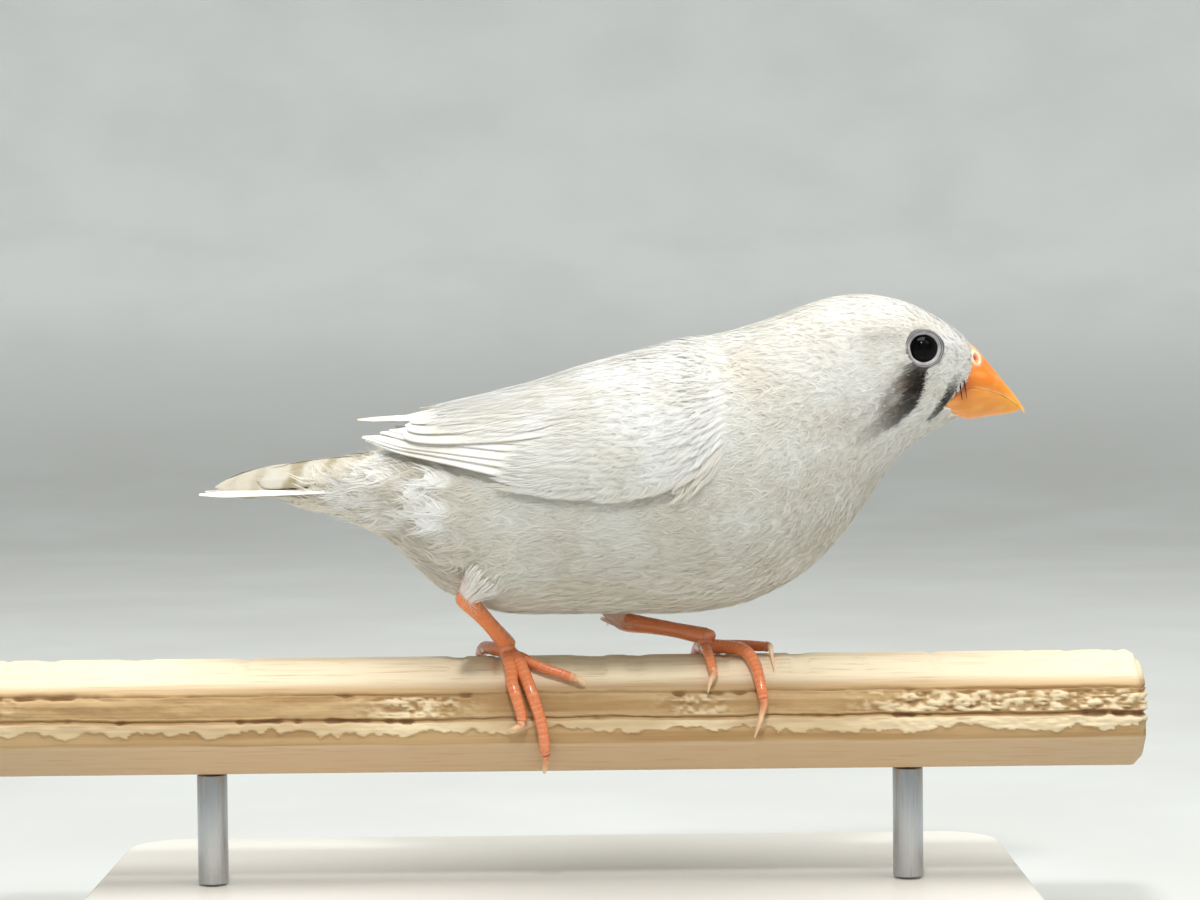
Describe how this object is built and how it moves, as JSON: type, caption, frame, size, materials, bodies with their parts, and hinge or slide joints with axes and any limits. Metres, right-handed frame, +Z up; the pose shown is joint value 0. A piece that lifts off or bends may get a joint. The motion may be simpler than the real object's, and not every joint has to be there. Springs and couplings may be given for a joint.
{
  "type": "zebra finch",
  "caption": "Still, life-size white zebra finch leaning forward with folded wings, gripping a cut length of wooden perch on a plain stand.",
  "frame": {"origin": "middle of the underside of the stand's base, on the surface that the stand rests on", "axes": "+Z up, +X along the perch towards the bird's bill, +Y towards the bird's left side"},
  "size_m": [0.153, 0.074, 0.0843],
  "materials": {
    "plumage": "matte",
    "bill": "satin",
    "eye": "polished",
    "leg": "satin",
    "claw": "satin",
    "perch_wood": "matte",
    "stand_board": "satin",
    "stand_steel": "satin"
  },
  "bodies": {
    "root": {"head": "plumage", "neck": "plumage", "torso": "plumage", "tail": "plumage", "wing_right": "plumage", "wing_left": "plumage", "thigh_right": "plumage", "thigh_left": "plumage", "bill_upper": "bill", "bill_lower": "bill", "eye_right": "eye", "eye_left": "eye", "leg_right": "leg", "leg_left": "leg", "claw_right_inner": "claw", "claw_right_middle": "claw", "claw_right_outer": "claw", "claw_right_hind": "claw", "claw_left_inner": "claw", "claw_left_middle": "claw", "claw_left_outer": "claw", "claw_left_hind": "claw", "perch": "perch_wood", "stand_base": "stand_board", "stand_rod_1": "stand_steel", "stand_rod_2": "stand_steel"}
  },
  "joints": []
}
